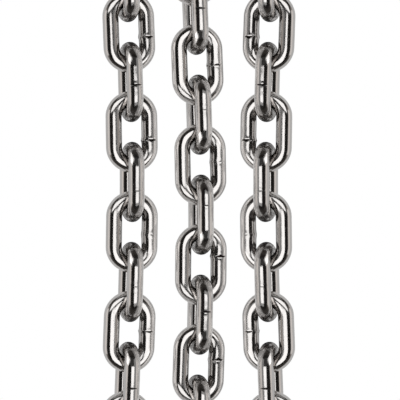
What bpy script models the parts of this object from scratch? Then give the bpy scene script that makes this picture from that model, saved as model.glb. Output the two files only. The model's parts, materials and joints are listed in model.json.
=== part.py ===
"""Three lengths of bright short-link steel chain, pulled straight and lying side by side.

Metres, +Z up. The lengths run along Y and rest on the plane Z = 0. Every link is one piece of round
wire, bent to an oval and butt-welded, and is its own object. The links hook into each other in turn:
a flat link faces up, and the next one stands on edge, a quarter turn round.
"""

import math

import bpy
from mathutils import Vector

# Link: 10 mm wire, 31 mm inside length
WIRE_DIAMETER = 0.010
INSIDE_LENGTH = 0.031
INSIDE_WIDTH = 0.0125

LINKS_PER_RUN = 16
# Taut links bear on each other at their crowns. The pitch is this much less than the inside length,
# so that the faceted surfaces stay apart.
CROWN_GAP = 0.0006
# A run is turned this far round its own length: its flat links aren't quite level, and its edge
# links lean, so that their lower bar shows from above.
ROLL = math.radians(15)

# Each run: name, X of its line, whether its lowest link lies flat, Y of its middle, Y where its bow
# is widest, and the side (1 for +X) that it bows to and its edge links lean to.
RUNS = (
    ("left_run", -0.0443, False, -0.0042, 0.008, 1),
    ("middle_run", -0.0024, True, 0.0063, -0.020, 1),
    ("right_run", 0.0431, False, -0.0042, 0.008, -1),
)
# A run isn't dead straight: it bows sideways by this amplitude over one wavelength.
BOW = 0.0031
BOW_WAVELENGTH = 0.49

# Facets: the wire's section and each half-round end of a link
SECTION_SIDES = 12
SEGMENTS_PER_END = 6

STEEL_COLOUR = (0.62, 0.60, 0.585, 1.0)
STEEL_ROUGHNESS = 0.12

BEND_RADIUS = (INSIDE_WIDTH + WIRE_DIAMETER) / 2
HALF_STRAIGHT = (INSIDE_LENGTH - INSIDE_WIDTH) / 2
PITCH = INSIDE_LENGTH - CROWN_GAP


def clear_scene():
    for obj in list(bpy.data.objects):
        bpy.data.objects.remove(obj)


def steel():
    material = bpy.data.materials.new("bright_steel")
    material.use_nodes = True
    shader = material.node_tree.nodes["Principled BSDF"]
    shader.inputs["Base Color"].default_value = STEEL_COLOUR
    shader.inputs["Metallic"].default_value = 1.0
    shader.inputs["Roughness"].default_value = STEEL_ROUGHNESS
    return material


def oval_points():
    """The wire's centreline in the XY plane: two half circles joined by the straight sides along Y."""
    points = []
    for end in (1, -1):
        for step in range(SEGMENTS_PER_END + 1):
            angle = math.pi * step / SEGMENTS_PER_END
            x = end * BEND_RADIUS * math.cos(angle)
            y = end * (HALF_STRAIGHT + BEND_RADIUS * math.sin(angle))
            points.append((x, y, 0.0))
    return points


def section_radius():
    """The corner radius that gives the faceted section the area of the round wire."""
    corner = 2 * math.pi / SECTION_SIDES
    return WIRE_DIAMETER / 2 * math.sqrt(corner / math.sin(corner))


def link_curve(material):
    """A closed wire along the oval. A corner of its section points outwards, so that on a link rolled
    by half a facet's angle one facet faces straight down."""
    curve = bpy.data.curves.new("link_wire", "CURVE")
    curve.dimensions = "3D"
    curve.bevel_depth = section_radius()
    curve.bevel_resolution = (SECTION_SIDES - 4) // 2
    spline = curve.splines.new("POLY")
    points = oval_points()
    spline.points.add(len(points) - 1)
    for point, place in zip(spline.points, points):
        point.co = (*place, 1.0)
    spline.use_cyclic_u = True
    curve.materials.append(material)
    return curve


def run_centres(x, middle, widest, side):
    """The centres of a run's links, one pitch apart along its bowed line."""

    def line(y):
        return x + side * BOW * math.cos(2 * math.pi * (y - widest) / BOW_WAVELENGTH)

    start = middle - PITCH * (LINKS_PER_RUN - 1) / 2
    centres = [Vector((line(start), start, 0.0))]
    while len(centres) < LINKS_PER_RUN:
        last = centres[-1]
        across = line(last.y + PITCH) - last.x
        centres.append(last + Vector((across, math.sqrt(PITCH**2 - across**2), 0.0)))
    return centres


def heading(centres, index):
    """A link's turn about Z: it follows the line through its two neighbours."""
    before = centres[max(index - 1, 0)]
    after = centres[min(index + 1, len(centres) - 1)]
    along = after - before
    return -math.atan2(along.x, along.y)


def add_run(collection, heap, curve, name, x, lowest_is_flat, middle, widest, side):
    centres = run_centres(x, middle, widest, side)
    for index, centre in enumerate(centres):
        lies_flat = (index % 2 == 0) == lowest_is_flat
        roll = side * (ROLL if lies_flat else ROLL - math.pi / 2)
        link = bpy.data.objects.new(f"{name}_link_{index + 1:02d}", curve)
        link.location = centre
        link.rotation_euler = (0.0, roll, heading(centres, index))
        link.parent = heap
        collection.objects.link(link)


def centre_on_floor(heap, collection):
    """Moves the whole so that its box stands on Z = 0 with its middle at the origin."""
    bpy.context.view_layer.update()
    graph = bpy.context.evaluated_depsgraph_get()
    points = []
    for obj in collection.objects:
        if obj.type == "CURVE":
            mesh = obj.evaluated_get(graph).to_mesh()
            points += [obj.matrix_world @ vertex.co for vertex in mesh.vertices]
    low = Vector(map(min, *points))
    high = Vector(map(max, *points))
    heap.location = (-(low.x + high.x) / 2, -(low.y + high.y) / 2, -low.z)


def main():
    clear_scene()
    collection = bpy.data.collections.new("chain_heap")
    bpy.context.scene.collection.children.link(collection)
    heap = bpy.data.objects.new("chain_heap", None)
    collection.objects.link(heap)
    curve = link_curve(steel())
    for run in RUNS:
        add_run(collection, heap, curve, *run)
    centre_on_floor(heap, collection)


main()
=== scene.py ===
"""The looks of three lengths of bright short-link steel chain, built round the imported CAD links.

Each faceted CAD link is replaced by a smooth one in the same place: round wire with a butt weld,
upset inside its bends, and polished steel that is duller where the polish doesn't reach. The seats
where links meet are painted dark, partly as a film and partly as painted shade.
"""

import json
import math
from typing import NamedTuple

import bmesh
import bpy
from bpy.props import FloatProperty, FloatVectorProperty, IntProperty, PointerProperty, StringProperty
from mathutils import Matrix, Vector, noise

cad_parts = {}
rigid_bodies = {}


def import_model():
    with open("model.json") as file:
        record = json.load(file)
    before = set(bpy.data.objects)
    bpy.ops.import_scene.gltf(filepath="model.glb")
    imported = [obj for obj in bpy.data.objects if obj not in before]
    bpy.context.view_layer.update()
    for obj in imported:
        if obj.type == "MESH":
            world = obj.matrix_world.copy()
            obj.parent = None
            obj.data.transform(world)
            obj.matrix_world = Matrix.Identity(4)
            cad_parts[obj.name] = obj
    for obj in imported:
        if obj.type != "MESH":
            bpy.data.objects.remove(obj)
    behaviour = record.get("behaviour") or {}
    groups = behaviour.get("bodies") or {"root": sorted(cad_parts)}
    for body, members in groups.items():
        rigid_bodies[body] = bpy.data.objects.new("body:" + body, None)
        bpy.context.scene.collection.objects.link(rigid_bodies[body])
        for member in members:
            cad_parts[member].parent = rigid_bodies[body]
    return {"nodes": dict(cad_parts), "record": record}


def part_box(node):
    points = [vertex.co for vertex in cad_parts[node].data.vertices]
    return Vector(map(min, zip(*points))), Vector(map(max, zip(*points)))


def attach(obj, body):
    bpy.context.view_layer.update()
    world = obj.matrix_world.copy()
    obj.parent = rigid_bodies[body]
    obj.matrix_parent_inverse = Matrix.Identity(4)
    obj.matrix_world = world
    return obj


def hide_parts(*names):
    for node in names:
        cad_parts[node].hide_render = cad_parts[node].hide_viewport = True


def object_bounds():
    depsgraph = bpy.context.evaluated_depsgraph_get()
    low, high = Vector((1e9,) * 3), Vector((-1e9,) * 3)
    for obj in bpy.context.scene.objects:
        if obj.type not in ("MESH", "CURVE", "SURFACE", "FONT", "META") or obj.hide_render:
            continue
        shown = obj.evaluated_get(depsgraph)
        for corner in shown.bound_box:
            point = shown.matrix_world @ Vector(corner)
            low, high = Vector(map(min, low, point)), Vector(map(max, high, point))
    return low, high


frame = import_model()
cad_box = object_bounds()

bl_info = {
    "name": "Polished chain lengths",
    "version": (1, 0, 0),
    "blender": (4, 5, 0),
    "location": "3D View > Sidebar > Chain",
    "description": "Welded, polished links in place of the CAD links, and a studio to see them in",
    "category": "Object",
}

BODY = "root"
STEEL_SLOT = "bright_steel"
RUN_NAMES = ("left_run", "middle_run", "right_run")
MIDDLE_RUN = RUN_NAMES[1]
LINKS_PER_RUN = sum(name.startswith(RUN_NAMES[0]) for name in frame["nodes"])
STEEL_RECORD = next(entry for entry in frame["record"]["materials"] if entry["slot"] == STEEL_SLOT)

# The photo's three lengths are one length seen three ways: the middle one is the left one turned top
# to bottom, and the right one is the left one turned left to right.
MIRROR_X = {"left_run": 1, "middle_run": 1, "right_run": -1}
MIRROR_Y = {"left_run": 1, "middle_run": -1, "right_run": 1}

# The welds that the photo shows in the left run, by link number: metres from the link's middle
# towards +Y, and how strongly the seam shows
SEEN_WELDS = {
    5: (-0.0030, 0.6),
    6: (0.0007, 0.6),
    7: (-0.0022, 0.25),
    8: (-0.0014, 0.1),
    9: (-0.0052, 0.3),
    10: (-0.0051, 1.0),
    11: (-0.0023, 0.75),
    12: (-0.0034, 1.0),
}
# The other welds are up to about this far from the middle, with a seam of this strength
WELD_WANDER = 0.005
USUAL_SEAM = 0.6
WANDER_STEP = 1.37
WANDER_TRACK = (4.1, 0.5)

# Rings round the wire: their spacing, and how far from the weld each spacing holds
SEAM_SPACING = 0.00011
SEAM_REACH = 0.0014
WELD_SPACING = 0.0004
WELD_REACH = 0.005
BAR_SPACING = 0.0011
LEAST_SPACING = 0.0002
SAME_POINT = 1e-6
WELDLESS_BAR_RINGS = 9
BEND_RINGS = 26

# The weld: how far from it the upset metal, the flash and the rough skin reach
UPSET_REACH = 0.0021
UPSET_SHARE = 0.7
FLASH_REACH = 0.0008
FLASH_SHARE = 0.4
FLAT_ROUGH_REACH = 0.0042
EDGE_ROUGH_REACH = 0.0065
# Depth of the rough skin inside the link, the part of it on the outer side, and its sinking
SKIN_DEPTH = 0.00011
FLAT_OUTER_SKIN = 0.15
EDGE_OUTER_SKIN = 0.42
INNER_SKIN = 0.74
SKIN_SINK = 0.3
# How much of the worked look the weld has away from the inside of the link
OUTER_WELD = 0.4
# The seam was ground away but for the top of the bar, from this much of the wire's radius upwards
SEAM_FROM = 0.70
SEAM_SPAN = 0.25
SEAM_WIDTH = 0.00030
# The bead of flash beside the seam: its place along and across the bar, and its size
BEAD_ALONG = 0.0011
BEAD_LENGTH = 0.0007
BEAD_ACROSS = 0.22
BEAD_WIDTH = 0.14

# Grain of the rough skin, length of the bars' waves, and how deep those are
GRAIN = 0.0016
GRAIN_SHIFT = (7.3, 3.1, 5.7)
WAVE = 0.0055
FLAT_WAVE_DEPTH = 0.000028
EDGE_WAVE_DEPTH = 0.000045
WAVE_SINK = 0.5

# The bends: where the crown begins, where its seat does, and how much more a link on edge is thinned
CROWN_FROM = 0.2
CROWN_SPAN = 0.8
SEAT_FROM = 0.35
SEAT_SPAN = 0.45
EDGE_SEAT = 0.8
EDGE_THINNING = 1.8

# Noise on the steel, in cells to a metre, and for the drawing lines in cells to the wire's radius
CLOUD_SCALE = 70.0
SCUFF_SCALE = 420.0
MOTTLE_SCALE = 620.0
PIT_SCALE = 900.0
COARSE_LINE_SCALE = 9.0
FINE_LINE_SCALE = 40.0
LINE_STRETCH = 2.5
# The levels of the noise, or of the seam's depth, between which each one sets in
WORN_LEVELS = (0.49, 0.56)
PIT_LEVELS = (0.70, 0.80)
STREAK_LEVELS = (0.45, 0.75)
SEAM_LEVELS = (0.15, 0.55)
# How far a seat is covered, with painted shade and a dark film, where it is least worn, and how much of
# that is worn off
SEAT_COVER = 1.7
SEAT_WEAR = 1.65
# How far the seats take the dark colour (painted shade and a film where links meet), and the welds'
# scuffs and the pits (a film), and how much the clouds darken the steel
SEAT_SHADE_AND_FILM = 0.92
WELD_BROWN = 0.25
PIT_BROWN = 0.25
CLOUD_DEPTH = 0.12
# What each adds to the roughness
STREAK_ROUGHNESS = 0.05
SCUFF_ROUGHNESS = 0.05
PIT_ROUGHNESS = 0.2
WELD_ROUGHNESS = 0.12
# Heights of the relief, in steps of its distance
RELIEF_DISTANCE = 0.000012
RELIEF_STRENGTH = 0.35
FINE_LINE_HEIGHT = 0.2
COARSE_LINE_HEIGHT = 0.5
MOTTLE_HEIGHT = 110.0
WELD_MOTTLE = 0.12
PIT_DEPTH = 3.0


class OverheadBox(NamedTuple):
    """A level soft box as the left run sees it. Place and size are parts of its height above the run,
    the turn is in degrees, and the radiance is 1 for the white floor's."""

    across: float
    along: float
    wide: float
    deep: float
    radiance: float
    turn: float = 0.0


class StandingBox(NamedTuple):
    """A soft box that faces the left run's middle: its azimuth from +X towards +Y, its angle from
    straight up, its width and height, all in degrees, and its radiance."""

    azimuth: float
    zenith: float
    wide: float
    high: float
    radiance: float


class LowStrip(NamedTuple):
    """A strip of light between a run and its neighbour, which would darken its rims: the side, as the
    left run has it, the lowest and highest point in metres, and the radiance."""

    side: int
    low: float
    high: float
    radiance: float


# The flat links and the links on edge have lights of their own, this far from the run
PANEL_DISTANCE = 5.0
FLAT_KEYS = {
    "key": OverheadBox(across=0.598, along=-0.520, wide=1.75, deep=1.00, radiance=1.6, turn=-17.5),
    "back": OverheadBox(across=-0.35, along=0.76, wide=1.10, deep=0.86, radiance=1.5),
}
EDGE_KEYS = {
    "key": OverheadBox(across=0.24, along=-0.245, wide=0.76, deep=0.66, radiance=1.6),
    "key_tail": OverheadBox(across=0.22, along=-0.83, wide=0.72, deep=0.41, radiance=0.4),
}
FLAT_PANELS = {
    "side": StandingBox(azimuth=180, zenith=75, wide=48, high=34, radiance=0.50),
    "far_side": StandingBox(azimuth=0, zenith=52, wide=26, high=30, radiance=0.24),
    "north": StandingBox(azimuth=80, zenith=76, wide=70, high=28, radiance=0.22),
}
EDGE_PANELS = {
    "back_corner": StandingBox(azimuth=153, zenith=71, wide=32, high=38, radiance=1.5),
    "back_edge": StandingBox(azimuth=138, zenith=50, wide=22, high=20, radiance=0.5),
    "side": StandingBox(azimuth=180, zenith=78, wide=50, high=30, radiance=0.45),
    "far_side": StandingBox(azimuth=0, zenith=50, wide=80, high=42, radiance=0.30),
    "north": StandingBox(azimuth=95, zenith=30, wide=60, high=36, radiance=0.035),
}
STRIP_DISTANCE = 0.0215
STRIP_LENGTH = 0.6
FLAT_STRIPS = {
    "west": LowStrip(side=-1, low=0.0120, high=0.0250, radiance=0.35),
    "east": LowStrip(side=1, low=0.0105, high=0.0205, radiance=0.50),
}
EDGE_STRIPS = {
    "west": LowStrip(side=-1, low=0.0020, high=0.0300, radiance=0.30),
    "east": LowStrip(side=1, low=0.0020, high=0.0400, radiance=0.32),
}

# The floor is shaded fully to the first distance from a length's line, and not beyond the second
FLOOR_SHADE_REACH = (0.004, 0.012)
FLOOR_SIZE = 4.0
FLOOR_DROP = 0.0005
# The walls end between these angles above the horizon, and the pale sides begin and are full at these
# parts of the way from an end wall to a side wall
WALL_TOP = (math.radians(20), math.radians(38))
SIDE_WALL_LEVELS = (0.74, 0.96)
SENSOR_WIDTH = 36.0
WHITE = (1.0, 1.0, 1.0)


class LinkSizes(bpy.types.PropertyGroup):
    wire: FloatProperty(
        name="Wire",
        description="Diameter of the wire, just within the CAD wire's flats",
        default=0.00984,
        unit="LENGTH",
    )
    inside_length: FloatProperty(
        name="Inside length",
        description="Length of a link's opening",
        default=0.031,
        unit="LENGTH",
    )
    inside_width: FloatProperty(
        name="Inside width",
        description="Width of a link's opening",
        default=0.0125,
        unit="LENGTH",
    )
    twist: FloatProperty(
        name="Twist",
        description="How far a run is turned round its own length",
        default=math.radians(15),
        unit="ROTATION",
    )
    weld_bulge: FloatProperty(
        name="Weld bulge",
        description="How far the upset metal stands proud inside the link",
        default=0.00042,
        unit="LENGTH",
    )
    weld_groove: FloatProperty(
        name="Weld groove",
        description="Depth of the line where the wire's ends meet",
        default=0.00026,
        unit="LENGTH",
    )
    weld_burr: FloatProperty(
        name="Weld burr",
        description="How far a bead of flash stands proud beside the seam",
        default=0.00016,
        unit="LENGTH",
    )
    bend_upset: FloatProperty(
        name="Bend upset",
        description="How far the wire thickens inside a bend",
        default=0.00022,
        unit="LENGTH",
    )
    bend_thinning: FloatProperty(
        name="Bend thinning",
        description="How far the wire thins outside a bend, where bending stretches it",
        default=0.0005,
        unit="LENGTH",
    )
    sides: IntProperty(
        name="Sides",
        description="Faces round the wire",
        default=36,
        min=12,
    )


class SteelFinish(bpy.types.PropertyGroup):
    colour: FloatVectorProperty(
        name="Colour",
        description="The polished metal",
        default=STEEL_RECORD["base_color"][:3],
        subtype="COLOR",
    )
    # Dark film colour at the welds and pits; in the seats it is also painted shade where the links meet
    residue_and_shade: FloatVectorProperty(
        name="Residue",
        description="Brown film that stays where the polish doesn't reach",
        default=(0.085, 0.072, 0.063),
        subtype="COLOR",
    )
    seam: FloatVectorProperty(
        name="Seam",
        description="Scale in the line where the wire's ends meet",
        default=(0.022, 0.018, 0.016),
        subtype="COLOR",
    )
    roughness: FloatProperty(
        name="Roughness",
        description="Roughness of the polished bars",
        default=0.10,
        subtype="FACTOR",
    )
    seat_roughness: FloatProperty(
        name="Seat roughness",
        description="Roughness where links bear on each other",
        default=0.20,
        subtype="FACTOR",
    )


class StudioSetup(bpy.types.PropertyGroup):
    seen_length: FloatProperty(
        name="Seen length",
        description="How much of the lengths the square picture takes in",
        default=0.2432,
        unit="LENGTH",
    )
    lens: FloatProperty(
        name="Lens",
        description="Focal length in millimetres",
        default=300.0,
        unit="CAMERA",
    )
    aim: FloatVectorProperty(
        name="Aim",
        description="Where the middle of the picture is, across and along the lengths",
        default=(0.00066, -0.00103),
        size=2,
        subtype="TRANSLATION",
    )
    side_wall: FloatProperty(
        name="Side walls",
        description="Brightness of the walls beside the lengths, with the white floor at 1",
        default=0.42,
    )
    end_wall: FloatProperty(
        name="End walls",
        description="Brightness of the walls beyond the lengths' ends",
        default=0.05,
    )
    ceiling: FloatProperty(
        name="Ceiling",
        description="Brightness of the dark ceiling",
        default=0.012,
    )
    floor_mirrored: FloatProperty(
        name="Floor in mirrors",
        description="Brightness of the open floor as the steel mirrors it",
        default=0.65,
    )
    floor_shade: FloatProperty(
        name="Floor shade",
        description="Brightness of the floor under the lengths, as the steel mirrors it",
        default=0.06,
    )
    room: FloatVectorProperty(
        name="Room",
        description="Tint of the walls and the ceiling",
        default=(1.0, 0.90, 0.82),
        subtype="COLOR",
    )
    floor: FloatVectorProperty(
        name="Floor",
        description="Colour of the lit floor",
        default=(1.0, 1.0, 1.0),
        subtype="COLOR",
    )


class NodeValue:
    """A number or vector output in a node tree. Arithmetic on it adds Math nodes."""

    def __init__(self, tree, socket):
        self.tree = tree
        self.socket = socket

    def math(self, operation, *operands, clamp=False):
        settings = {"operation": operation, "use_clamp": clamp}
        inputs = dict(enumerate((self, *operands)))
        return self.tree.node("ShaderNodeMath", settings, inputs)

    def __add__(self, other):
        return self.math("ADD", other)

    __radd__ = __add__

    def __sub__(self, other):
        return self.math("SUBTRACT", other)

    def __rsub__(self, other):
        return self.math("MULTIPLY_ADD", -1.0, other)

    def __mul__(self, other):
        return self.math("MULTIPLY", other)

    __rmul__ = __mul__

    def clamped(self):
        return self.math("MULTIPLY", 1.0, clamp=True)


class NodeTree:
    """Adds nodes to a material's or world's tree, each by its type, settings and inputs."""

    def __init__(self, owner):
        owner.use_nodes = True
        self.tree = owner.node_tree
        self.tree.nodes.clear()

    def node(self, kind, settings=None, inputs=None, output=0):
        made = self.tree.nodes.new(kind)
        for name, value in (settings or {}).items():
            setattr(made, name, value)
        for name, value in (inputs or {}).items():
            if isinstance(value, NodeValue):
                self.tree.links.new(value.socket, made.inputs[name])
            else:
                made.inputs[name].default_value = value
        return NodeValue(self, made.outputs[output]) if made.outputs else made

    def noise(self, vector, scale, detail=2.0, roughness=0.5):
        inputs = {"Vector": vector, "Scale": scale, "Detail": detail, "Roughness": roughness}
        return self.node("ShaderNodeTexNoise", {}, inputs)

    def smooth_step(self, value, low, high):
        settings = {"interpolation_type": "SMOOTHSTEP"}
        return self.node("ShaderNodeMapRange", settings, {0: value, 1: low, 2: high})

    def mix(self, factor, colour, other):
        settings = {"data_type": "RGBA"}
        inputs = {0: factor, 6: colour, 7: other}
        return self.node("ShaderNodeMix", settings, inputs, output=2)


def opaque(colour):
    return (*colour, 1.0)


def bell(distance, reach):
    """1 at no distance, about a third at the reach and next to nothing at twice the reach."""
    return math.exp(-((distance / reach) ** 2))


def share(value, start, span):
    """How far a value is through the span from the start, 0 to 1."""
    return max(0.0, min(1.0, (value - start) / span))


def polished_steel(finish):
    """Bright steel: drawn along the wire, tumbled to a shine, dull in its hidden seats, which are
    painted dark: partly a film, partly painted shade where the links meet.
    """
    material = bpy.data.materials.new("polished_steel")
    tree = NodeTree(material)
    place = tree.node("ShaderNodeTexCoord", output=3)
    wire = tree.node("ShaderNodeUVMap", {"uv_map": "wire"})
    seat = tree.node("ShaderNodeAttribute", {"attribute_name": "seat"}, output=2)
    weld = tree.node("ShaderNodeAttribute", {"attribute_name": "weld"}, output=2)
    seam = tree.node("ShaderNodeAttribute", {"attribute_name": "seam"}, output=2)

    # Drawing lines run along the wire: the noise is read round the section, and slowly along it
    along = tree.node("ShaderNodeSeparateXYZ", {}, {0: wire}, output=0)
    around = tree.node("ShaderNodeSeparateXYZ", {}, {0: wire}, output=1) * (2 * math.pi)
    section = tree.node(
        "ShaderNodeCombineXYZ",
        {},
        {0: around.math("COSINE"), 1: around.math("SINE"), 2: along * LINE_STRETCH},
    )
    coarse_lines = tree.noise(section, COARSE_LINE_SCALE, detail=3.0)
    fine_lines = tree.noise(section, FINE_LINE_SCALE)

    clouds = tree.noise(place, CLOUD_SCALE, detail=3.0)
    scuffs = tree.noise(place, SCUFF_SCALE, detail=3.0, roughness=0.6)
    mottle = tree.noise(place, MOTTLE_SCALE, roughness=0.7)
    pits = tree.smooth_step(tree.noise(place, PIT_SCALE, detail=1.0), *PIT_LEVELS)

    # Painted shade: the seats where links meet are darkened, partly as a film, in patches set by the
    # mottle
    worn = tree.smooth_step(mottle, *WORN_LEVELS)
    patchy_seat = (seat * (SEAT_COVER - worn * SEAT_WEAR)).clamped()
    film_and_shade = (patchy_seat * SEAT_SHADE_AND_FILM + weld * scuffs * WELD_BROWN + pits * PIT_BROWN).clamped()
    shade = 1 - CLOUD_DEPTH / 2 + clouds * CLOUD_DEPTH
    grey = tree.node("ShaderNodeCombineXYZ", {}, {0: shade, 1: shade, 2: shade})
    clean = tree.node(
        "ShaderNodeMix",
        {"data_type": "RGBA", "blend_type": "MULTIPLY"},
        {0: 1.0, 6: opaque(finish.colour), 7: grey},
        output=2,
    )
    filmed_and_shaded = tree.mix(film_and_shade, clean, opaque(finish.residue_and_shade))
    colour = tree.mix(tree.smooth_step(seam, *SEAM_LEVELS), filmed_and_shaded, opaque(finish.seam))

    streaks = tree.smooth_step(coarse_lines, *STREAK_LEVELS)
    polished = finish.roughness + streaks * STREAK_ROUGHNESS + scuffs * SCUFF_ROUGHNESS
    worked = pits * PIT_ROUGHNESS + weld * scuffs * WELD_ROUGHNESS
    roughness = polished + worked + patchy_seat * (finish.seat_roughness - finish.roughness)

    lines = fine_lines * FINE_LINE_HEIGHT + coarse_lines * COARSE_LINE_HEIGHT
    rough_places = mottle * (seat + weld * WELD_MOTTLE) * MOTTLE_HEIGHT
    bump = tree.node(
        "ShaderNodeBump",
        {},
        {
            "Strength": RELIEF_STRENGTH,
            "Distance": RELIEF_DISTANCE,
            "Height": lines + rough_places - pits * PIT_DEPTH,
        },
    )
    shader = tree.node(
        "ShaderNodeBsdfPrincipled",
        {},
        {"Base Color": colour, "Metallic": 1.0, "Roughness": roughness, "Normal": bump},
    )
    tree.node("ShaderNodeOutputMaterial", {}, {"Surface": shader})
    return material


class WeldedLink:
    """One link in its own frame: the oval lies in XY, its length along Y, and the weld on +X."""

    def __init__(self, sizes, weld_at, seam_strength, seed, on_edge):
        self.wire_radius = sizes.wire / 2
        self.bend_radius = (sizes.inside_width + sizes.wire) / 2
        self.half_straight = (sizes.inside_length - sizes.inside_width) / 2
        self.sizes = sizes
        self.weld_at = weld_at
        self.seam_strength = seam_strength
        self.seed = seed
        self.on_edge = on_edge
        self.rough_reach = EDGE_ROUGH_REACH if on_edge else FLAT_ROUGH_REACH
        self.outer_skin = EDGE_OUTER_SKIN if on_edge else FLAT_OUTER_SKIN
        self.wave_depth = EDGE_WAVE_DEPTH if on_edge else FLAT_WAVE_DEPTH
        self.thinning = sizes.bend_thinning * (EDGE_THINNING if on_edge else 1.0)
        self.length = 4 * self.half_straight + 2 * math.pi * self.bend_radius

    def wire_place(self, point):
        """A surface point's place on the wire: metres from the weld going up, 0 to the whole length,
        the nearest point of the centreline, and the direction that points out of the oval."""
        half = self.half_straight
        top_start = half - self.weld_at
        bend = math.pi * self.bend_radius
        if abs(point.y) <= half:
            side = 1 if point.x > 0 else -1
            centre = Vector((side * self.bend_radius, point.y, 0))
            outward = Vector((side, 0, 0))
            if side > 0:
                along = (point.y - self.weld_at) % self.length
            else:
                along = top_start + bend + half - point.y
        else:
            end = 1 if point.y > 0 else -1
            middle = Vector((0, end * half, 0))
            outward = Vector((point.x, point.y - middle.y, 0)).normalized()
            centre = middle + outward * self.bend_radius
            turn = math.atan2(end * outward.y, end * outward.x)
            start = top_start if end > 0 else top_start + bend + 2 * half
            along = start + self.bend_radius * turn
        return along, centre, outward

    def weld_distance(self, along):
        return min(along, self.length - along)

    def ring_steps(self, reach):
        """Distances from the weld to its rings: close together at the weld, then wider."""
        steps = []
        place = 0.0
        while place < reach:
            if place < SEAM_REACH:
                place += SEAM_SPACING
            elif place < WELD_REACH:
                place += WELD_SPACING
            else:
                place += BAR_SPACING
            steps.append(min(place, reach))
        if len(steps) > 1 and steps[-1] - steps[-2] < LEAST_SPACING:
            steps.pop(-2)
        return steps

    def extrude(self, bm, ring, offsets):
        """Extrudes the open ring of edges along Y, to each offset in turn from where it stands."""
        before = 0.0
        for offset in offsets:
            made = bmesh.ops.extrude_edge_only(bm, edges=ring)["geom"]
            ring = [item for item in made if isinstance(item, bmesh.types.BMEdge)]
            verts = [item for item in made if isinstance(item, bmesh.types.BMVert)]
            bmesh.ops.translate(bm, verts=verts, vec=(0, offset - before, 0))
            ring = [edge for edge in ring if all(vert in verts for vert in edge.verts)]
            before = offset
        return ring

    def bend(self, bm, ring, end):
        """Spins the ring half a turn round the end's centre, and gives the ring that it arrives at."""
        verts = dict.fromkeys(vert for edge in ring for vert in edge.verts)
        made = bmesh.ops.spin(
            bm,
            geom=[*ring, *verts],
            cent=(0, end * self.half_straight, 0),
            axis=(0, 0, 1),
            dvec=(0, 0, 0),
            angle=math.pi,
            steps=BEND_RINGS,
            use_merge=False,
            use_normal_flip=False,
            use_duplicate=False,
        )["geom_last"]
        return [item for item in made if isinstance(item, bmesh.types.BMEdge)]

    def build(self):
        """The wire from its weld up, over one bend, down the other bar and round to the weld again."""
        bm = bmesh.new()
        start = bmesh.ops.create_circle(
            bm, segments=self.sizes.sides, radius=self.wire_radius, cap_ends=False
        )["verts"]
        stand = Matrix.Translation((self.bend_radius, self.weld_at, 0)) @ Matrix.Rotation(
            math.radians(90), 4, "X"
        )
        bmesh.ops.transform(bm, matrix=stand, verts=start)
        ring = list(bm.edges)
        ring = self.extrude(bm, ring, self.ring_steps(self.half_straight - self.weld_at))
        ring = self.bend(bm, ring, 1)
        bar = [
            -2 * self.half_straight * (step + 1) / WELDLESS_BAR_RINGS
            for step in range(WELDLESS_BAR_RINGS)
        ]
        ring = self.extrude(bm, ring, bar)
        ring = self.bend(bm, ring, -1)
        reach = self.weld_at + self.half_straight
        back = [0.0, *self.ring_steps(reach)]
        rising = [reach - place for place in reversed(back[:-1])]
        self.extrude(bm, ring, rising)
        bmesh.ops.remove_doubles(bm, verts=list(bm.verts), dist=SAME_POINT)
        bmesh.ops.recalc_face_normals(bm, faces=list(bm.faces))
        self.lay_wire_map(bm)
        self.shape(bm)
        for face in bm.faces:
            face.smooth = True
        return bm

    def lay_wire_map(self, bm):
        """UV map: U once along the wire from the weld, V once round its section."""
        layer = bm.loops.layers.uv.new("wire")
        for face in bm.faces:
            places = []
            for loop in face.loops:
                along, centre, outward = self.wire_place(loop.vert.co)
                arm = loop.vert.co - centre
                turn = math.atan2(arm.z, arm.dot(outward)) / (2 * math.pi)
                places.append([along / self.length, turn % 1.0])
            for axis in (0, 1):
                if max(place[axis] for place in places) - min(place[axis] for place in places) > 0.5:
                    for place in places:
                        place[axis] += 1.0 if place[axis] < 0.5 else 0.0
            for loop, place in zip(face.loops, places):
                loop[layer].uv = place

    def groove(self, distance, up):
        """The seam's depth, 0 to 1. It is deepest on top of the bar."""
        open_seam = share(up, SEAM_FROM, SEAM_SPAN) * self.seam_strength
        return bell(distance, SEAM_WIDTH + SEAM_WIDTH * open_seam) * open_seam

    def bead(self, point, arm, outward):
        """A small bead of flash beside the seam, towards the inside of a flat link and its +Y end."""
        if point.x < 0 or abs(point.y) > self.half_straight:
            return 0.0
        top = arm.dot(outward) if self.on_edge else arm.z
        if top <= 0:
            return 0.0
        side = arm.z if self.on_edge else -arm.dot(outward)
        along = (point.y - self.weld_at - BEAD_ALONG) / BEAD_LENGTH
        across = (side - BEAD_ACROSS) / BEAD_WIDTH
        return math.exp(-(along**2) - across**2)

    def weld_push(self, point, arm, outward, distance, groove):
        """How far the weld moves the skin out."""
        inside = max(0.0, -arm.dot(outward))
        shift = Vector([self.seed * step for step in GRAIN_SHIFT])
        uneven = noise.noise(point / GRAIN + shift)
        flash = bell(distance, FLASH_REACH) * inside**2 * max(0.0, FLASH_SHARE + uneven)
        skin = (uneven - SKIN_SINK) * (self.outer_skin + INNER_SKIN * inside)
        push = self.sizes.weld_bulge * bell(distance, UPSET_REACH) * UPSET_SHARE * inside
        push += self.sizes.weld_bulge * flash
        push += SKIN_DEPTH * bell(distance, self.rough_reach) * skin
        push -= self.sizes.weld_groove * groove
        push += self.sizes.weld_burr * self.bead(point, arm, outward) * self.seam_strength
        return push

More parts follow.
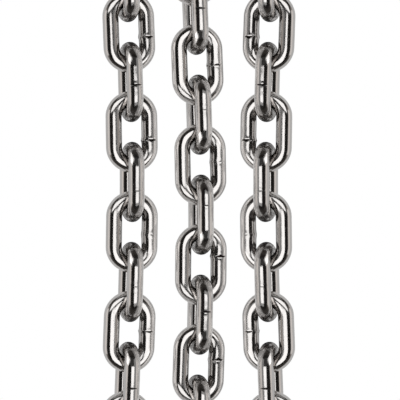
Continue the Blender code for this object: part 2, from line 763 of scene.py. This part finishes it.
    def shape(self, bm):
        """Moves the skin in or out for the weld, the bends and slight waves, and keeps how near each
        point is to the weld, its seam and the bearing seats."""
        near_weld = bm.verts.layers.float.new("weld")
        near_seam = bm.verts.layers.float.new("seam")
        near_seat = bm.verts.layers.float.new("seat")
        moved = {}
        for vert in bm.verts:
            along, centre, outward = self.wire_place(vert.co)
            distance = self.weld_distance(along)
            arm = (vert.co - centre).normalized()
            inside = max(0.0, -arm.dot(outward))
            outside = max(0.0, arm.dot(outward))
            bent = abs(vert.co.y) > self.half_straight
            crown = share(abs(outward.y), CROWN_FROM, CROWN_SPAN) if bent else 0.0
            groove = self.groove(distance, outside if self.on_edge else max(0.0, arm.z))
            wave = noise.noise(vert.co / WAVE + Vector((self.seed, 0, 0)))
            push = self.weld_push(vert.co, arm, outward, distance, groove)
            push += self.sizes.bend_upset * crown * inside**3
            push -= self.thinning * crown * outside
            push += self.wave_depth * (wave - WAVE_SINK)
            moved[vert] = arm * push
            vert[near_weld] = bell(distance, self.rough_reach) * (OUTER_WELD + (1 - OUTER_WELD) * inside)
            vert[near_seam] = groove
            seated = share(inside, SEAT_FROM, SEAT_SPAN)
            # The seat mask also sets the painted shade where links meet; a link on edge has it over its
            # whole crown
            vert[near_seat] = crown * max(seated, EDGE_SEAT * crown if self.on_edge else 0.0)
        for vert, offset in moved.items():
            vert.co += offset


def node_name(run, number):
    return f"{run}_link_{number:02d}"


def middle_of(node):
    low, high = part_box(node)
    return (low + high) / 2


def lies_flat(node):
    low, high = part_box(node)
    return high.z - low.z < high.x - low.x


def heading(run, number):
    """A link's turn about Z, along the line through its neighbours' middles."""
    before = middle_of(node_name(run, max(number - 1, 1)))
    after = middle_of(node_name(run, min(number + 1, LINKS_PER_RUN)))
    along = after - before
    return -math.atan2(along.x, along.y)


def pattern_number(run, number):
    """The left run's link that this one repeats."""
    return number if MIRROR_Y[run] > 0 else LINKS_PER_RUN + 1 - number


def weld_of(pattern):
    """Where the weld is along its bar, and how strongly its seam shows. The welds that the photo
    doesn't show wander by a fixed noise."""
    wander = noise.noise(Vector((pattern * WANDER_STEP, *WANDER_TRACK)))
    return SEEN_WELDS.get(pattern, (WELD_WANDER * wander, USUAL_SEAM))


def add_link(run, number, sizes, material):
    """A smooth link in the place of its CAD link."""
    node = node_name(run, number)
    pattern = pattern_number(run, number)
    weld_at, seam_strength = weld_of(pattern)
    bm = WeldedLink(sizes, weld_at, seam_strength, pattern, not lies_flat(node)).build()
    bmesh.ops.scale(bm, vec=(MIRROR_X[run], MIRROR_Y[run], 1), verts=list(bm.verts))
    if MIRROR_X[run] * MIRROR_Y[run] < 0:
        bmesh.ops.reverse_faces(bm, faces=list(bm.faces))
    roll = MIRROR_X[run] * (sizes.twist if lies_flat(node) else sizes.twist - math.pi / 2)
    turn = Matrix.Rotation(heading(run, number), 4, "Z") @ Matrix.Rotation(roll, 4, "Y")
    bmesh.ops.transform(bm, matrix=Matrix.Translation(middle_of(node)) @ turn, verts=list(bm.verts))
    mesh = bpy.data.meshes.new(f"{run}_welded_link_{number:02d}")
    bm.to_mesh(mesh)
    bm.free()
    mesh.materials.append(material)
    link = bpy.data.objects.new(mesh.name, mesh)
    bpy.context.scene.collection.objects.link(link)
    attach(link, BODY)
    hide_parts(node)


def receivers(run, flat):
    """A collection of a run's flat links, or of its links on edge, for a lamp to light."""
    group = bpy.data.collections.new(f"{run}_{'flat' if flat else 'edge'}_links")
    for number in range(1, LINKS_PER_RUN + 1):
        if lies_flat(node_name(run, number)) == flat:
            group.objects.link(bpy.context.scene.objects[f"{run}_welded_link_{number:02d}"])
    return group


def add_lamp(name, group, size, location, facing, radiance):
    """A flat lamp that lights only the group's links and isn't seen by the camera."""
    lamp = bpy.data.lights.new(name, "AREA")
    lamp.shape = "RECTANGLE"
    lamp.size, lamp.size_y = size
    # A flat lamp's radiance is its power over its area and pi
    lamp.energy = radiance * lamp.size * lamp.size_y * math.pi
    box = bpy.data.objects.new(name, lamp)
    box.location = location
    box.rotation_euler = facing.to_track_quat("Z", "Y").to_euler()
    box.visible_camera = False
    bpy.context.scene.collection.objects.link(box)
    box.light_linking.receiver_collection = group
    return box


def add_key(name, run, group, key):
    """An overhead soft box, level, placed and sized from its height above the run."""
    middle = middle_of(node_name(run, LINKS_PER_RUN // 2))
    across = MIRROR_X[run] * key.across
    along = MIRROR_Y[run] * key.along
    place = middle + PANEL_DISTANCE * Vector((across, along, 1))
    size = (PANEL_DISTANCE * key.wide, PANEL_DISTANCE * key.deep)
    box = add_lamp(name, group, size, place, Vector((0, 0, 1)), key.radiance)
    box.rotation_euler.z += math.radians(MIRROR_X[run] * MIRROR_Y[run] * key.turn)


def add_panel(name, run, group, panel):
    """A standing soft box that faces the run's middle."""
    zenith = math.radians(panel.zenith)
    azimuth = math.radians(panel.azimuth)
    direction = Vector(
        (
            MIRROR_X[run] * math.sin(zenith) * math.cos(azimuth),
            MIRROR_Y[run] * math.sin(zenith) * math.sin(azimuth),
            math.cos(zenith),
        )
    )
    size = [
        2 * PANEL_DISTANCE * math.tan(math.radians(angle / 2)) for angle in (panel.wide, panel.high)
    ]
    place = middle_of(node_name(run, LINKS_PER_RUN // 2)) + direction * PANEL_DISTANCE
    add_lamp(name, group, size, place, direction, panel.radiance)


def add_strip(name, run, group, strip):
    """An upright strip along the run that faces it."""
    side = strip.side * MIRROR_X[run]
    middle = middle_of(node_name(run, LINKS_PER_RUN // 2))
    place = Vector((middle.x + side * STRIP_DISTANCE, 0.0, (strip.low + strip.high) / 2))
    size = (STRIP_LENGTH, strip.high - strip.low)
    add_lamp(name, group, size, place, Vector((side, 0, 0)), strip.radiance)


def add_panels():
    """The soft boxes and strips of every run. The outer runs have a neighbour to one side only."""
    sets = (
        ("flat", FLAT_KEYS, FLAT_PANELS, FLAT_STRIPS),
        ("edge", EDGE_KEYS, EDGE_PANELS, EDGE_STRIPS),
    )
    for run in RUN_NAMES:
        for kind, keys, panels, strips in sets:
            group = receivers(run, kind == "flat")
            for name, key in keys.items():
                add_key(f"{run}_{kind}_{name}", run, group, key)
            for name, panel in panels.items():
                add_panel(f"{run}_{kind}_{name}", run, group, panel)
            for name, strip in strips.items():
                if name == "east" or run == MIDDLE_RUN:
                    add_strip(f"{run}_{kind}_{name}_strip", run, group, strip)


def white_floor(studio):
    """White to the camera. The steel mirrors it duller, and dark where the lengths shade it."""
    material = bpy.data.materials.new("lit_white_floor")
    tree = NodeTree(material)
    place = tree.node("ShaderNodeTexCoord", output=3)
    across = tree.node("ShaderNodeSeparateXYZ", {}, {0: place}, output=0)
    lit = 1.0
    for run in RUN_NAMES:
        line = middle_of(node_name(run, LINKS_PER_RUN // 2)).x
        apart = (across - line).math("ABSOLUTE")
        lit = tree.smooth_step(apart, *FLOOR_SHADE_REACH) * lit
    mirrored = lit * (studio.floor_mirrored - studio.floor_shade) + studio.floor_shade
    seen = tree.node("ShaderNodeLightPath")
    strength = mirrored + seen * (1 - mirrored)
    light = tree.node("ShaderNodeEmission", {}, {"Color": opaque(studio.floor), "Strength": strength})
    tree.node("ShaderNodeOutputMaterial", {}, {"Surface": light})
    return material


def add_floor(studio):
    bm = bmesh.new()
    bmesh.ops.create_grid(bm, x_segments=1, y_segments=1, size=FLOOR_SIZE)
    mesh = bpy.data.meshes.new("floor")
    bm.to_mesh(mesh)
    bm.free()
    mesh.materials.append(white_floor(studio))
    floor = bpy.data.objects.new("floor", mesh)
    floor.location.z = -FLOOR_DROP
    bpy.context.scene.collection.objects.link(floor)


def add_room(studio):
    """The world: a dark ceiling, and walls that are paler at the sides. White to the camera."""
    world = bpy.data.worlds.new("studio_room")
    bpy.context.scene.world = world
    tree = NodeTree(world)
    direction = tree.node("ShaderNodeTexCoord", output=0)
    sideways = tree.node("ShaderNodeSeparateXYZ", {}, {0: direction}, output=0).math("ABSOLUTE")
    up = tree.node("ShaderNodeSeparateXYZ", {}, {0: direction}, output=2)
    wall = 1 - tree.smooth_step(up, math.sin(WALL_TOP[0]), math.sin(WALL_TOP[1]))
    side = tree.smooth_step(sideways, *SIDE_WALL_LEVELS)
    walls = side * (studio.side_wall - studio.end_wall) + studio.end_wall
    brightness = wall * (walls - studio.ceiling) + studio.ceiling
    seen = tree.node("ShaderNodeLightPath")
    strength = brightness + seen * (1 - brightness)
    tint = tree.mix(seen, opaque(studio.room), opaque(WHITE))
    background = tree.node("ShaderNodeBackground", {}, {"Color": tint, "Strength": strength})
    tree.node("ShaderNodeOutputWorld", {}, {"Surface": background})


def add_camera(studio):
    """Straight above the lengths, with its top towards +Y."""
    data = bpy.data.cameras.new("above")
    data.lens = studio.lens
    data.sensor_width = SENSOR_WIDTH
    camera = bpy.data.objects.new("above", data)
    height = (cad_box[0].z + cad_box[1].z) / 2 + studio.seen_length * data.lens / SENSOR_WIDTH
    camera.location = (studio.aim[0], studio.aim[1], height)
    bpy.context.scene.collection.objects.link(camera)
    bpy.context.scene.camera = camera


class CHAIN_OT_add_run(bpy.types.Operator):
    """Replaces the CAD links of one length with smooth, welded, polished ones"""

    bl_idname = "chain.add_run"
    bl_label = "Add a length of chain"
    run: StringProperty(name="Length", description="Name of the length", default=RUN_NAMES[0])

    def execute(self, context):
        scene = context.scene
        material = bpy.data.materials.get("polished_steel") or polished_steel(scene.chain_finish)
        for number in range(1, LINKS_PER_RUN + 1):
            add_link(self.run, number, scene.chain_sizes, material)
        return {"FINISHED"}


class CHAIN_OT_add_studio(bpy.types.Operator):
    """Adds the white floor, the room, the soft boxes and the camera"""

    bl_idname = "chain.add_studio"
    bl_label = "Add the studio"

    def execute(self, context):
        studio = context.scene.chain_studio
        add_floor(studio)
        add_room(studio)
        add_panels()
        add_camera(studio)
        context.scene.view_settings.view_transform = "Standard"
        return {"FINISHED"}


class CHAIN_PT_panel(bpy.types.Panel):
    bl_idname = "CHAIN_PT_panel"
    bl_label = "Chain lengths"
    bl_space_type = "VIEW_3D"
    bl_region_type = "UI"
    bl_category = "Chain"

    def draw(self, context):
        layout = self.layout
        scene = context.scene
        for group in (scene.chain_sizes, scene.chain_finish, scene.chain_studio):
            for name in group.__annotations__:
                layout.prop(group, name)
        for run in RUN_NAMES:
            layout.operator(CHAIN_OT_add_run.bl_idname, text=f"Add {run}").run = run
        layout.operator(CHAIN_OT_add_studio.bl_idname)


CLASSES = (
    LinkSizes,
    SteelFinish,
    StudioSetup,
    CHAIN_OT_add_run,
    CHAIN_OT_add_studio,
    CHAIN_PT_panel,
)


def register():
    for cls in CLASSES:
        bpy.utils.register_class(cls)
    bpy.types.Scene.chain_sizes = PointerProperty(type=LinkSizes)
    bpy.types.Scene.chain_finish = PointerProperty(type=SteelFinish)
    bpy.types.Scene.chain_studio = PointerProperty(type=StudioSetup)


def unregister():
    del bpy.types.Scene.chain_studio
    del bpy.types.Scene.chain_finish
    del bpy.types.Scene.chain_sizes
    for cls in reversed(CLASSES):
        bpy.utils.unregister_class(cls)


def main():
    register()
    for run in RUN_NAMES:
        bpy.ops.chain.add_run(run=run)
    bpy.ops.chain.add_studio()


if __name__ == "__main__":
    main()
